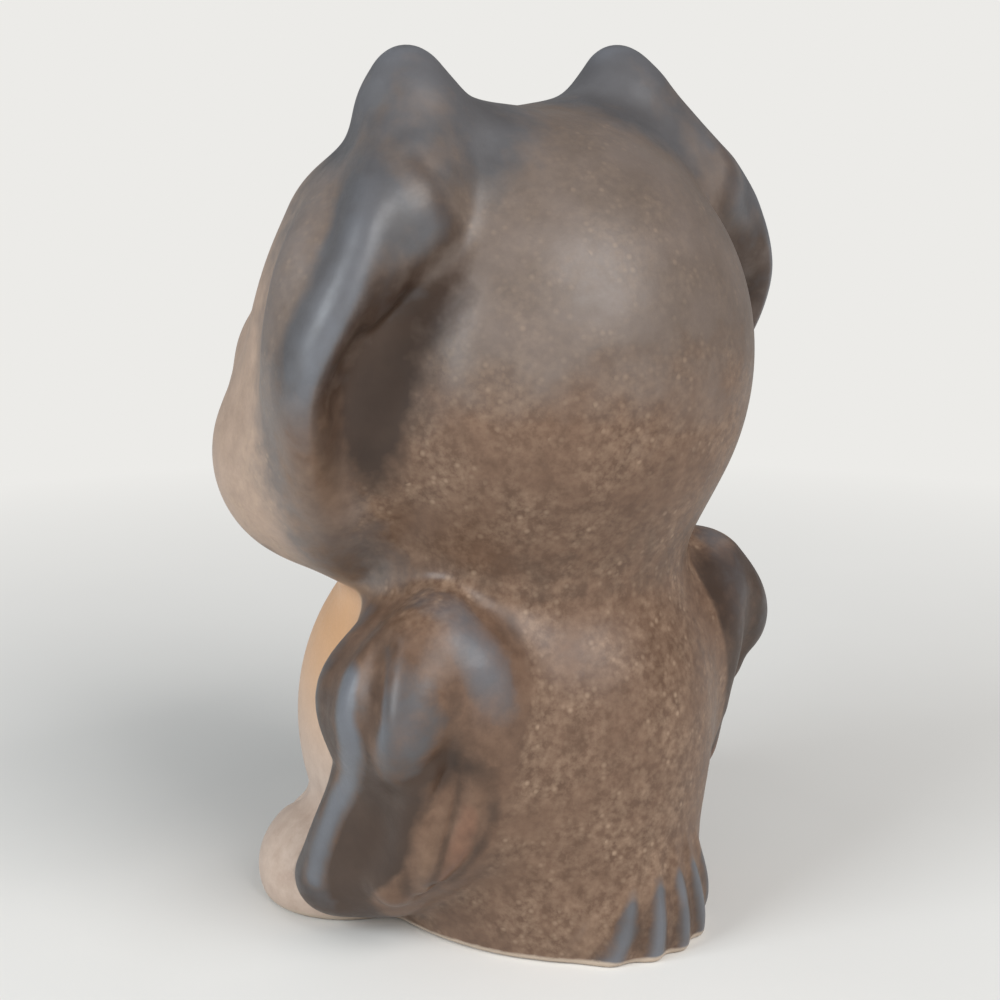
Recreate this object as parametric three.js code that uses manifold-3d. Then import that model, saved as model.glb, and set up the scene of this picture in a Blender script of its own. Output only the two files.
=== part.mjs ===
// A glazed stoneware owl figurine. The head and the body are hollow shells that meet in a lap joint
// at the neck. Ears, face ruffs, face discs, eyes, beak, wings, feet and tail are formed apart and
// luted on over a thin bed of slip. Sizes are in mm. The owl faces -Y and its own left side is +X.
import * as THREE from "three";
import { mergeVertices } from "three/addons/utils/BufferGeometryUtils.js";
import Module from "manifold-3d";

const wasm = await Module();
wasm.setup();

// Clay and joints
const wall = 4.2;
const clearance = 0.3;
const seamHeight = 49;
const lapRise = 3;
const ventRadius = 4;
const neckFillet = 5;

// Body: a barrel, a narrower skirt below it and sloping shoulders above it
const bodyHalfWidth = 26;
const bodyHalfDepth = 31.5;
const bodyHalfHeight = 31;
const bellyHeight = 25;
const bellyForward = 4.5;
const skirtHalfWidth = 20.5;
const skirtHalfDepth = 27;
const skirtHalfHeight = 26;
const skirtHeight = 10;
const skirtBack = 2;
const shoulderHalfDepth = 27.5;
const shoulderHalfHeight = 28;

// Head: a ball that tapers into the neck
const headHalfWidth = 31;
const headHalfDepth = 31.5;
const headHalfHeight = 31.3;
const headAboveSeam = 32;
const headBack = 1;
const neckRadius = 19.7;
const muzzleRadius = 14;

// Pieces on the head
const earInset = 10.6;
const earRise = 8;
const earTipRadius = 4;
const earBaseRadius = 12.5;
const ruffCrestRadius = 3.2;
const browRadius = 8.5;
const discRadius = 14.5;
const jowlRadius = 7.5;
const discInset = 9.5;
const eyeRadius = 6.5;
const eyeInset = 6.8;
const eyeSink = 1.5;
const eyeDrop = 5.5;
const beakLength = 11.5;
const beakRootRadius = 4.6;
const beakTipRadius = 1.8;

// Pieces on the body
const wingThickness = 3.5;
const wingEdgeRadius = 3.2;
const wingTipHeight = 8;
const featherRadius = 2.2;
const footHalfWidth = 14.8;
const footHalfLength = 13.8;
const footHeight = 15;
const footInset = 4;
const footSwellHeight = 4;
const tailHalfWidth = 14;
const tailHalfDepth = 12.5;
const tailHeight = 19;
const tailSwellHeight = 4;
const tailProud = 2;
const tailOffset = -1;
const tailRibPitch = 5.4;
const tailRibMiddle = 0.6;
const tailRibDepth = 0.9;

// Places that several pieces share
const headHeight = seamHeight + headAboveSeam;
const headFront = headBack - headHalfDepth;
const headTop = headHeight + headHalfHeight;
const bodyFront = -bellyForward - bodyHalfDepth;
const bodyBack = skirtBack + skirtHalfDepth;
const earSpread = headHalfWidth - earInset;
const discSpread = headHalfWidth - discInset;
const eyeCentre = [discSpread - eyeInset, headFront + eyeSink, headHeight - eyeDrop];
const footCentre = [footHalfWidth, bodyFront + footInset + footHalfLength, footSwellHeight];
const tailCentre = [tailOffset, bodyBack + tailProud - tailHalfDepth, tailSwellHeight];

// Forms are fields: functions of a point that are negative inside and about a distance in mm
function ellipsoid(centre, radii) {
  return ([x, y, z]) => {
    const [u, v, w] = [(x - centre[0]) / radii[0], (y - centre[1]) / radii[1], (z - centre[2]) / radii[2]];
    const near = Math.hypot(u, v, w);
    const slope = Math.hypot(u / radii[0], v / radii[1], w / radii[2]);
    return (near * (near - 1)) / Math.max(slope, 1e-9);
  };
}

// A smooth round line through stations of x, y, z and radius
function tube(...stations) {
  const steps = 6;
  const count = Math.round(steps * (stations.length - 1));
  const line = new THREE.CatmullRomCurve3(stations.map(([x, y, z]) => new THREE.Vector3(x, y, z)));
  line.curveType = "catmullrom";
  const points = line.getPoints(count);
  const radii = points.map((point, i) => {
    const span = Math.min(Math.floor(i / steps), stations.length - 2);
    return THREE.MathUtils.lerp(stations[span][3], stations[span + 1][3], i / steps - span);
  });
  return ([x, y, z]) => {
    let nearest = Infinity;
    for (let i = 0; i < count; i++) {
      const [a, b] = [points[i], points[i + 1]];
      const [ux, uy, uz] = [b.x - a.x, b.y - a.y, b.z - a.z];
      const [vx, vy, vz] = [x - a.x, y - a.y, z - a.z];
      const along = (vx * ux + vy * uy + vz * uz) / (ux * ux + uy * uy + uz * uz);
      const t = THREE.MathUtils.clamp(along, 0, 1);
      const reach = Math.hypot(vx - t * ux, vy - t * uy, vz - t * uz);
      nearest = Math.min(nearest, reach - THREE.MathUtils.lerp(radii[i], radii[i + 1], t));
    }
    return nearest;
  };
}

// Fields joined with a fillet of about the given size
function blend(fillet, first, ...others) {
  return (p) => others.reduce((a, other) => {
    const b = other(p);
    const overlap = Math.max(fillet - Math.abs(a - b), 0) / fillet;
    return Math.min(a, b) - (overlap * overlap * fillet) / 4;
  }, first(p));
}

function carve(fillet, form, tool) {
  const rest = blend(fillet, (p) => -form(p), tool);
  return (p) => -rest(p);
}

function bothSides(form) {
  return ([x, y, z]) => form([Math.abs(x), y, z]);
}

// A form leaned forward or back about a line across the figure
function leaned(degrees, centre, form) {
  const turn = THREE.MathUtils.degToRad(degrees);
  const [c, s] = [Math.cos(turn), Math.sin(turn)];
  return ([px, py, pz]) => {
    const [y, z] = [py - centre[1], pz - centre[2]];
    return form([px, centre[1] + c * y + s * z, centre[2] - s * y + c * z]);
  };
}

function torsoForm() {
  const barrel = ellipsoid([0, -bellyForward, bellyHeight], [bodyHalfWidth, bodyHalfDepth, bodyHalfHeight]);
  const skirt = ellipsoid([0, skirtBack, skirtHeight], [skirtHalfWidth, skirtHalfDepth, skirtHalfHeight]);
  const shoulderRadii = [bodyHalfWidth - 0.5, shoulderHalfDepth, shoulderHalfHeight];
  const shoulders = ellipsoid([0, headBack, seamHeight - 18], shoulderRadii);
  return blend(6, blend(5, barrel, skirt), shoulders);
}

function skullForm() {
  const ball = ellipsoid([0, headBack, headHeight], [headHalfWidth, headHalfDepth, headHalfHeight]);
  const taper = tube([0, 0.5, headHeight - 7, headHalfWidth - 2.4], [0, -0.5, seamHeight - 6, neckRadius]);
  const muzzle = ellipsoid([0, headFront + 12, headHeight - 13], [muzzleRadius, muzzleRadius, 18]);
  return carve(4, blend(8, blend(6, ball, taper), muzzle), bothSides(channelForm()));
}

// The hollow behind the ruff, where it meets the skull
function channelForm() {
  const side = headHalfWidth;
  return tube(
    [side - 4, 20, headHeight + 17, 1.5],
    [side + 1.5, 17.5, headHeight + 8, 4],
    [side + 5, 13, headHeight - 1, 5.8],
    [side + 5.5, 10.5, headHeight - 9, 4.8],
    [side + 3.5, 6.5, headHeight - 18, 3],
  );
}

// The swelling from the brow down to the cheek that carries one eye, with a jowl that runs to the neck
function discForm() {
  const cheek = [discSpread, headFront + 15.6, headHeight - 14.5, discRadius];
  const brow = tube([discSpread - 1.5, headFront + 21.2, headHeight + 15.5, browRadius], cheek);
  const jowl = tube(cheek, [discSpread - 8, headFront + 21, seamHeight + 9, jowlRadius]);
  const roundEye = ellipsoid([eyeCentre[0] - 0.5, headFront + 6, eyeCentre[2]], [13.5, 8, 15]);
  return blend(4, brow, jowl, roundEye);
}

// A cone with a round tip and a flared foot
function earForm() {
  const tip = headTop + earRise - earTipRadius;
  const root = headTop - 12;
  const coneTop = [earSpread - 0.5, -0.1, tip, earTipRadius];
  const cone = tube([earSpread - 1, 0, root, earBaseRadius - 2.8], coneTop);
  const flareTop = [earSpread - 1, 0, headTop - 0.5, earTipRadius + 1.5];
  const flare = tube([earSpread - 8, 1, root, earBaseRadius], flareTop);
  return blend(4, cone, flare);
}

// The swept rim of the face: a crest from the ear to the jaw, a ridge behind it and a flank before it
function ruffForm() {
  const side = headHalfWidth;
  const crest = tube(
    [side - 4, 4.4, headHeight + 24, ruffCrestRadius],
    [side + 2.2, 8.8, headHeight + 19.5, ruffCrestRadius],
    [side + 5.4, 9.9, headHeight + 14.4, ruffCrestRadius],
    [side + 8.6, 9.2, headHeight + 8, ruffCrestRadius],
    [side + 10, 7, headHeight + 2, ruffCrestRadius],
    [side + 9.2, 4.8, headHeight - 3.5, ruffCrestRadius - 0.1],
    [side + 7, 2.2, headHeight - 9, ruffCrestRadius - 0.4],
    [side + 3.8, -1, headHeight - 15, ruffCrestRadius - 0.6],
    [side - 0.4, -4.6, headHeight - 22, ruffCrestRadius - 0.9],
    [side - 7, -6.5, headHeight - 28, ruffCrestRadius - 1.5],
  );
  const ridge = tube(
    [side - 5, 9, headHeight + 22, ruffCrestRadius - 1],
    [side - 2, 10.8, headHeight + 18.3, ruffCrestRadius - 0.4],
    [side + 1.4, 10.8, headHeight + 13.2, ruffCrestRadius - 0.4],
    [side + 4.6, 10.2, headHeight + 7.4, ruffCrestRadius - 1.2],
  );
  const flank = tube(
    [side - 3, -1, headHeight + 20, 4.5],
    [side + 4, 1, headHeight + 13, 5.2],
    [side + 6.5, 1, headHeight + 5, 5.4],
    [side + 6.2, -1, headHeight - 2, 4.6],
    [side + 2.8, -5.5, headHeight - 11, 3.6],
  );
  const web = ellipsoid([side - 6.5, -2.5, headHeight], [13.4, 14.5, 22]);
  return carve(4, blend(3, blend(6, web, flank, crest), ridge), channelForm());
}

function beakForm() {
  const root = headHeight - 9;
  return tube(
    [0, headFront - 2, root, beakRootRadius],
    [0, headFront - 6.5, root - beakLength, beakTipRadius],
  );
}

// A folded wing: a swollen shoulder, a leading edge, a wrist, a rim behind and feathers below
function wingForm() {
  const side = bodyHalfWidth + wingThickness;
  const top = seamHeight - 1;
  const tip = wingTipHeight;
  const shoulderCentre = [side - 6.5, 7.5, top - 10.5];
  const palmCentre = [side - 7.5, 1, tip + 9];
  const bedCentre = [side - 8, 10, tip + 13];
  const shoulder = leaned(-22, shoulderCentre, ellipsoid(shoulderCentre, [15, 9.5, 13.5]));
  const palm = leaned(-22, palmCentre, ellipsoid(palmCentre, [9.4, 9.5, 14.5]));
  const featherBed = leaned(-20, bedCentre, ellipsoid(bedCentre, [5.5, 7, 12]));
  const edge = tube(
    [side - 8, 1, top - 1.5, wingEdgeRadius],
    [side - 0.6, -1.8, top - 10.5, wingEdgeRadius + 1.3],
    [side - 2, -1, top - 19, wingEdgeRadius - 0.4],
    [side - 2, -2.2, tip + 15, wingEdgeRadius - 0.2],
    [side - 1.5, -6, tip + 7, wingEdgeRadius + 0.6],
    [side - 2.7, -9.2, tip, wingEdgeRadius + 2.2],
  );
  const wrist = tube(
    [side + 0.5, 11.5, top - 3, 3],
    [side + 3, 13.4, top - 7.5, 4],
    [side + 4.6, 13.4, top - 11.5, 3.4],
    [side + 4, 12, top - 15.5, 1.8],
  );
  const rim = tube(
    [side - 12.5, 4, top - 2, 3],
    [side - 3.8, 11.2, top, 3],
    [side - 4.4, 16, top - 3.7, 3],
    [side - 5.6, 17, top - 7, 3],
    [side - 6.2, 17.7, top - 11.5, 2.8],
    [side - 7, 17, top - 20, 2],
  );
  const trail = tube(
    [side + 1.5, 12.5, top - 18, 2.2],
    [side - 0.5, 10.5, top - 24, 2.5],
    [side - 1, 9, tip + 10, 2.5],
    [side - 1, 5.5, tip + 3.5, 2.6],
  );
  const knuckleGroove = tube(
    [side + 5.5, 9, top - 3, 1.4],
    [side + 10.6, 10.8, top - 12, 2.6],
    [side + 8.6, 7.5, top - 20, 2.2],
  );
  const frontFeather = tube(
    [side - 3, 14, top - 19, featherRadius - 0.8],
    [side - 1.9, 12.8, top - 24, featherRadius - 0.2],
    [side - 1.4, 11.2, tip + 9, featherRadius - 0.4],
    [side - 2.5, 9, tip + 4.5, featherRadius - 1],
  );
  const rearFeather = tube(
    [side - 6.3, 16.2, top - 14, featherRadius - 0.9],
    [side - 5.5, 16.3, top - 19, featherRadius - 0.2],
    [side - 5.3, 15.8, top - 23, featherRadius - 0.1],
    [side - 4.2, 13.8, tip + 11, featherRadius - 0.2],
    [side - 3.3, 11, tip + 6.5, featherRadius - 0.8],
  );
  const arm = blend(6, blend(10, shoulder, palm), rim, wrist);
  const grooved = carve(3, blend(7, arm, edge), knuckleGroove);
  return blend(1.5, blend(3, grooved, featherBed, trail), frontFeather, rearFeather);
}

function footForm() {
  return ellipsoid(footCentre, [footHalfWidth, footHalfLength, footHeight - footSwellHeight]);
}

// A fan of rounded ribs that stands on the ground behind the body
function tailForm() {
  const fan = ellipsoid(tailCentre, [tailHalfWidth, tailHalfDepth, tailHeight - tailSwellHeight]);
  const spreadFrom = 2 * tailHeight;
  return (p) => {
    const across = Math.atan2(p[0] - tailRibMiddle, spreadFrom - p[2]) * spreadFrom;
    return fan(p) + tailRibDepth * (0.5 + 0.5 * Math.cos((2 * Math.PI * across) / tailRibPitch));
  };
}

// A three.js geometry as a solid that can be cut and joined
function solid(geometry) {
  geometry.deleteAttribute("normal");
  geometry.deleteAttribute("uv");
  const merged = mergeVertices(geometry, 1e-4);
  return new wasm.Manifold(new wasm.Mesh({
    numProp: 3,
    vertProperties: new Float32Array(merged.attributes.position.array),
    triVerts: new Uint32Array(merged.index.array),
  }));
}

// A closed surface where a field reaches a level: a ball's points are pushed out from a centre
function sculpt(field, centre, radii, detail, level = 0) {
  const ball = new THREE.IcosahedronGeometry(1, detail);
  const place = ball.attributes.position;
  const stride = 0.1;
  const farthest = 5;
  for (let i = 0; i < place.count; i++) {
    const way = [place.getX(i) * radii[0], place.getY(i) * radii[1], place.getZ(i) * radii[2]];
    const at = (t) => [centre[0] + t * way[0], centre[1] + t * way[1], centre[2] + t * way[2]];
    let outside = stride;
    while (outside < farthest && field(at(outside)) < level) outside += stride;
    let inside = outside - stride;
    for (let pass = 0; pass < 14; pass++) {
      const halfway = (inside + outside) / 2;
      if (field(at(halfway)) < level) inside = halfway;
      else outside = halfway;
    }
    place.setXYZ(i, ...at((inside + outside) / 2));
  }
  return solid(ball);
}

function block(width, depth, height, x, y, z) {
  const box = new THREE.BoxGeometry(width, depth, height);
  box.translate(x, y, z);
  return solid(box);
}

function upright(radius, low, high) {
  const rod = new THREE.CylinderGeometry(radius, radius, high - low, 48);
  rod.rotateX(Math.PI / 2);
  rod.translate(0, 0, (low + high) / 2);
  return solid(rod);
}

// The main body of a cut, without the crumbs that a grazing cut can leave
function mainBody(cut) {
  return cut.decompose().reduce((a, b) => (b.volume() > a.volume() ? b : a));
}

// Hollow shells
const torso = torsoForm();
const core = blend(neckFillet, skullForm(), torso);
const reach = 10 * headTop;
const overrun = 7;
const seamLow = seamHeight - overrun;
const seamHigh = seamHeight + overrun;
const underground = block(reach, reach, reach, 0, 0, -reach / 2);
const headCentre = [0, 0, headHeight - 2];
const headRadii = [headHalfWidth, headHalfDepth, headHalfHeight];
const bodyCentre = [0, -1, bellyHeight + 3];
const bodyRadii = [bodyHalfWidth, bodyHalfDepth, bodyHalfHeight];
const upperCore = (p) => Math.max(core(p), seamLow - p[2]);
const lowerCore = (p) => Math.max(core(p), p[2] - seamHigh);

// How far the neck reaches to the side at the seam
function neckReach() {
  let radius = neckRadius / 2;
  while (core([radius, 0, seamHeight]) < 0) radius += 0.05;
  return radius;
}
const lapRadius = neckReach() - wall / 2;

// The inner half of the body's rim rises as a lip inside the head's rim
function bodyShell() {
  const outer = sculpt(lowerCore, bodyCentre, bodyRadii, 8);
  const hollowForm = (p) => Math.max(core(p) + wall, p[2] - seamHigh, wall - p[2]);
  const hollow = sculpt(hollowForm, bodyCentre, bodyRadii, 4);
  const lip = outer.intersect(upright(lapRadius, seamLow, seamHeight + lapRise));
  const below = outer.subtract(block(reach, reach, reach, 0, 0, seamHeight + reach / 2));
  const vent = upright(ventRadius, -wall, 2 * wall);
  return mainBody(below.add(lip).subtract(hollow).subtract(vent).subtract(underground));
}

function headShell() {
  const outer = sculpt(upperCore, headCentre, headRadii, 8);
  const hollowForm = (p) => Math.max(core(p) + wall, seamLow - p[2]);
  const hollow = sculpt(hollowForm, headCentre, headRadii, 4);
  const lap = upright(lapRadius + clearance, seamLow - 1, seamHeight + lapRise + clearance);
  const above = outer.subtract(block(reach, reach, reach, 0, 0, seamHeight + clearance - reach / 2));
  return mainBody(above.subtract(hollow).subtract(lap));
}

// The shells grown by the clearance, to cut seats in what is luted over them
const headSeat = sculpt(upperCore, headCentre, headRadii, 8, clearance);
const bodySeat = sculpt(lowerCore, bodyCentre, bodyRadii, 8, clearance);
const coreSeat = headSeat.add(bodySeat);

// Pieces of one side of the figure, each with a centre to grow from, rough half sizes and fineness
const eyeRadii = [eyeRadius, eyeRadius, eyeRadius];
const footRadii = [footHalfWidth, footHalfLength, footHeight];
const discMiddle = [discSpread, headFront + 17.5, headHeight - 5];
const ruffMiddle = [headHalfWidth, 2, headHeight + 2];
const earMiddle = [earSpread - 3, 0, headTop - 8];
const wingMiddle = [bodyHalfWidth - 3.5, 4, wingTipHeight + 19];
const sideForms = {
  disc: { form: discForm(), centre: discMiddle, radii: [15, 15, 24], detail: 7 },
  ruff: { form: ruffForm(), centre: ruffMiddle, radii: [10, 11, 26], detail: 8 },
  ear: { form: earForm(), centre: earMiddle, radii: [11, 11, 14], detail: 4 },
  eye: { form: ellipsoid(eyeCentre, eyeRadii), centre: eyeCentre, radii: eyeRadii, detail: 3 },
  wing: { form: wingForm(), centre: wingMiddle, radii: [12, 16, 24], detail: 8 },
  foot: { form: footForm(), centre: footCentre, radii: footRadii, detail: 4 },
};

// One piece on the given side, grown by a level, and kept clear of its twin at the middle plane
function sidePiece(kind, side, level = 0) {
  const { form, centre, radii, detail } = sideForms[kind];
  const sided = ([x, y, z]) => form([side * x, y, z]);
  const sidedCentre = [side * centre[0], centre[1], centre[2]];
  const middleGap = block(clearance - 2 * level, reach, reach, 0, 0, 0);
  return mainBody(sculpt(sided, sidedCentre, radii, detail, level).subtract(middleGap));
}

// Finish of each fired surface
const finishes = {
  speckledBrown: { color: 0x7a6355, roughness: 0.5 },
  greyBrown: { color: 0x6f6058, roughness: 0.48 },
  slateGlaze: { color: 0x545456, roughness: 0.42 },
  darkGlaze: { color: 0x43382f, roughness: 0.38 },
  paleClay: { color: 0xb79c88, roughness: 0.55 },
  creamClay: { color: 0xc7a78e, roughness: 0.58 },
  blackGlaze: { color: 0x1d1917, roughness: 0.25 },
  ochreGlaze: { color: 0x8f6238, roughness: 0.42 },
};

const owl = new THREE.Group();

// Adds a piece after cutting the seats of the pieces that it is luted over
function addPiece(name, finish, body, ...seats) {
  const cut = seats.reduce((rest, seat) => rest.subtract(seat), body);
  const { vertProperties, triVerts } = mainBody(cut).getMesh();
  const geometry = new THREE.BufferGeometry();
  geometry.setAttribute("position", new THREE.BufferAttribute(new Float32Array(vertProperties), 3));
  geometry.setIndex(new THREE.BufferAttribute(new Uint32Array(triVerts), 1));
  geometry.computeVertexNormals();
  const material = new THREE.MeshStandardMaterial({ ...finishes[finish], metalness: 0 });
  const mesh = new THREE.Mesh(geometry, material);
  mesh.name = name;
  owl.add(mesh);
}

addPiece("body_shell", "speckledBrown", bodyShell());
addPiece("head_shell", "greyBrown", headShell());

const discSeats = [];
for (const [side, label] of [[1, "left"], [-1, "right"]]) {
  const discSeat = sidePiece("disc", side, clearance);
  const ruffSeat = sidePiece("ruff", side, clearance);
  const footSeat = sidePiece("foot", side, clearance);
  discSeats.push(discSeat);
  addPiece(`face_disc_${label}`, "paleClay", sidePiece("disc", side), coreSeat);
  addPiece(`face_ruff_${label}`, "slateGlaze", sidePiece("ruff", side), headSeat, discSeat);
  addPiece(`ear_tuft_${label}`, "slateGlaze", sidePiece("ear", side), headSeat, discSeat, ruffSeat);
  addPiece(`eye_${label}`, "blackGlaze", sidePiece("eye", side), headSeat, discSeat);
  addPiece(`foot_${label}`, "creamClay", sidePiece("foot", side), bodySeat, underground);
  addPiece(`wing_${label}`, "darkGlaze", sidePiece("wing", side), coreSeat, ruffSeat, footSeat, underground);
}

const tailBody = sculpt(tailForm(), tailCentre, [tailHalfWidth, tailHalfDepth, tailHeight], 6);
addPiece("tail_fan", "slateGlaze", tailBody, bodySeat, underground);

const beakCentre = [0, headFront - 4, headHeight - 13];
const beakBody = sculpt(beakForm(), beakCentre, [beakRootRadius, beakRootRadius, beakLength], 3);
addPiece("beak", "ochreGlaze", beakBody, headSeat, ...discSeats);

// The origin goes on the ground under the middle of the figure
const box = new THREE.Box3().setFromObject(owl);
const middle = box.getCenter(new THREE.Vector3());
for (const mesh of owl.children) mesh.geometry.translate(-middle.x, -middle.y, -box.min.z);

export default owl;
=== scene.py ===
# A glazed stoneware owl figurine. One soft skin is drawn over all its pieces, as the glaze is, and is
# then parted along the joints, so each piece stands for its solid. Sizes are in mm until a mesh is made.
import math
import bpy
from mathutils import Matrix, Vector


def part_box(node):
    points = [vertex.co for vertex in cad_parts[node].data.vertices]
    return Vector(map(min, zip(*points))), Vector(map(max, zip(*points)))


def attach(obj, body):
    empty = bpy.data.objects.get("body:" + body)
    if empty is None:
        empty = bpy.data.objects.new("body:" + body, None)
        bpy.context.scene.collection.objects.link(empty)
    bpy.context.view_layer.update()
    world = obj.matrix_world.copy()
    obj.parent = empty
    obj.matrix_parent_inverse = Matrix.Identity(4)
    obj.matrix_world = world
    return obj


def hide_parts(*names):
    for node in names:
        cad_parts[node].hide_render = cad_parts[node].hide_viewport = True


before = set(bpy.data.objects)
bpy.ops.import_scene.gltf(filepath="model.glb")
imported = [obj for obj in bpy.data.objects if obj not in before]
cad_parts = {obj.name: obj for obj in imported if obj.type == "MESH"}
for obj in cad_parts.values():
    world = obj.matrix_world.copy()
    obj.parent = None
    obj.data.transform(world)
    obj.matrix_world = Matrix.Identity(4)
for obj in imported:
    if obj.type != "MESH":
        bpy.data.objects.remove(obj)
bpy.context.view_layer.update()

from types import SimpleNamespace as Marks

import bpy
import numpy as np
import openvdb
from mathutils import Matrix, Vector

MM = 0.001

# Sizes of the solids. The owl faces -Y, its own left side is +X, and the neck stands over the origin
seam_height = 49.0
vent_radius = 4.0
body_half_width = 26.0
body_half_depth = 31.5
body_half_height = 31.0
belly_height = 25.0
belly_forward = 4.5
skirt_half_width = 20.5
skirt_half_depth = 27.0
skirt_half_height = 26.0
skirt_height = 10.0
skirt_back = 2.0
shoulder_half_depth = 27.5
shoulder_half_height = 28.0
head_half_width = 31.0
head_half_depth = 31.5
head_half_height = 31.3
head_above_seam = 32.0
head_back = 1.0
neck_radius = 19.7
muzzle_radius = 14.0
ear_inset = 10.6
ear_rise = 8.0
ear_tip_radius = 4.0
ear_base_radius = 12.5
ruff_crest_radius = 3.2
brow_radius = 8.5
disc_radius = 14.5
jowl_radius = 7.5
disc_inset = 9.5
eye_radius = 6.5
eye_inset = 6.8
eye_sink = 1.5
eye_drop = 5.5
beak_length = 11.5
beak_root_radius = 4.6
beak_tip_radius = 1.8
wing_thickness = 3.5
wing_edge_radius = 3.2
wing_tip_height = 8.0
feather_radius = 2.2
foot_half_width = 14.8
foot_half_length = 13.8
foot_height = 15.0
foot_inset = 4.0
foot_swell_height = 4.0
tail_half_width = 14.0
tail_half_depth = 12.5
tail_height = 19.0
tail_swell_height = 4.0
tail_proud = 2.0
tail_offset = -1.0
tail_rib_pitch = 5.4
tail_rib_middle = 0.6
tail_rib_depth = 0.9

# Sizes that only the glazed skin has
toe_spacing = 9.0
toe_groove_depth = 0.9
lid_radius = 2.4
lid_reach = eye_radius + 1.5
lid_forward = 1.6
lid_turn = 0.22
eye_border_radius = eye_radius - 0.2
pupil_radius = 3.4
pupil_outward = 0.8
vent_depth = 5.0

# Fillets of slip where the pieces meet
neck_fillet = 5.0
ear_fillet = 6.0
ear_bridge_fillet = 5.0
ruff_fillet = 3.0
ruff_fillet_gain = 5.0
channel_fillet = 4.0
disc_fillet = 9.0
lid_fillet = 3.0
eye_fillet = 0.8
beak_fillet = 2.0
tail_fillet = 2.5
foot_fillet = 3.0
wing_fillet = 2.0
wing_fillet_gain = 4.0
feather_fillet = 1.2
base_fillet = 0.8

# Places that follow from the sizes
head_height = seam_height + head_above_seam
head_front = head_back - head_half_depth
head_top = head_height + head_half_height
body_front = -belly_forward - body_half_depth
body_back = skirt_back + skirt_half_depth
ear_spread = head_half_width - ear_inset
disc_spread = head_half_width - disc_inset
eye_spread = disc_spread - eye_inset
eye_height = head_height - eye_drop
eye_centre = np.array([eye_spread, head_front + eye_sink, eye_height])
wing_side = body_half_width + wing_thickness
wing_top = seam_height - 1
foot_centre = np.array([foot_half_width, body_front + foot_inset + foot_half_length, foot_swell_height])
tail_centre = np.array([tail_offset, body_back + tail_proud - tail_half_depth, tail_swell_height])

# The frame's origin lies under the middle of the outline, so the neck stands a little off it
neck_place = np.array([0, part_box("head_shell")[1].y / MM - (head_back + head_half_depth), 0])

# Fineness of the skin
coarse_step = 1.1
skin_thickness = 1.2
fillet_reach = 10.0
middle_softness = 1.5
smoothing_rounds = 2
vote_rounds = 4
border_rounds = 8
bulge_rounds = 10


# Forms are fields: functions of points that are negative inside and about a distance in mm

def ellipsoid(centre, radii):
    centre, radii = np.array(centre, float), np.array(radii, float)

    def field(points):
        q = (points - centre) / radii
        near = np.linalg.norm(q, axis=1)
        slope = np.linalg.norm(q / radii, axis=1)
        return near * (near - 1) / np.maximum(slope, 1e-9)
    return field


def smooth_line(stations, steps=10):
    """Points of x, y, z and radius on a smooth line through the stations."""
    s = np.array(stations, float)
    if len(s) == 2:
        return s
    s = np.vstack([2 * s[0] - s[1], s, 2 * s[-1] - s[-2]])
    t = np.linspace(0, 1, steps, endpoint=False)[:, None]
    spans = [
        b + 0.5 * t * (c - a + t * (2 * a - 5 * b + 4 * c - d + t * (3 * (b - c) + d - a)))
        for a, b, c, d in zip(s, s[1:], s[2:], s[3:])
    ]
    return np.vstack(spans + [s[-2:-1]])


def round_cone(points, along, start, end):
    """Distance to the hull of two balls, from the first one's centre and along to the second one's."""
    length = np.linalg.norm(along)
    lean = np.clip((start - end) / length, -0.95, 0.95)
    up = points @ along / length
    out = np.sqrt(np.maximum((points * points).sum(1) - up * up, 0))
    t = np.clip((up - out * lean / math.sqrt(1 - lean * lean)) / length, 0, 1)
    return np.hypot(out, up - t * length) - start - t * (end - start)


def tube(*stations):
    """A smooth round line. Points out of reach of any fillet all get that reach as their distance."""
    line = smooth_line(stations)
    low = (line[:, :3] - line[:, 3:]).min(0) - fillet_reach
    high = (line[:, :3] + line[:, 3:]).max(0) + fillet_reach

    def field(points):
        near = np.nonzero(((points > low) & (points < high)).all(1))[0]
        q = points[near]
        best = np.full(len(q), fillet_reach)
        for a, b in zip(line, line[1:]):
            best = np.minimum(best, round_cone(q - a[:3], b[:3] - a[:3], a[3], b[3]))
        out = np.full(len(points), fillet_reach)
        out[near] = best
        return out
    return field


def smooth_min(a, b, fillet):
    """The lesser of two distances, with a fillet where they meet."""
    overlap = np.maximum(fillet - np.abs(a - b), 0) / fillet
    return np.minimum(a, b) - overlap * overlap * fillet / 4


def smooth_max(a, b, fillet):
    """The greater of two distances, with a fillet where they meet."""
    return -smooth_min(-a, -b, fillet)


def blend(fillet, *fields):
    """Forms joined with fillets."""

    def field(points):
        value = fields[0](points)
        for other in fields[1:]:
            value = smooth_min(value, other(points), fillet)
        return value
    return field


def carved(fillet, form, tool):
    """A form with a tool's form cut out of it."""
    return lambda points: smooth_max(form(points), -tool(points), fillet)


def leaned(degrees, centre, form):
    """A form leaned forward or back about a line across the figure."""
    turn = math.radians(degrees)
    c, s = math.cos(turn), math.sin(turn)

    def field(points):
        q = points - centre
        turned = np.stack([q[:, 0], c * q[:, 1] + s * q[:, 2], c * q[:, 2] - s * q[:, 1]], 1)
        return form(turned + centre)
    return field


def both_sides(points):
    """Points of either side brought to the left, with a soft turn at the middle plane."""
    return np.stack([np.hypot(points[:, 0], middle_softness), points[:, 1], points[:, 2]], 1)


def ramp(value, start, end):
    """0 before start, 1 after end, and soft between them."""
    t = np.clip((value - start) / (end - start), 0, 1)
    return t * t * (3 - 2 * t)


# Body

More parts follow.
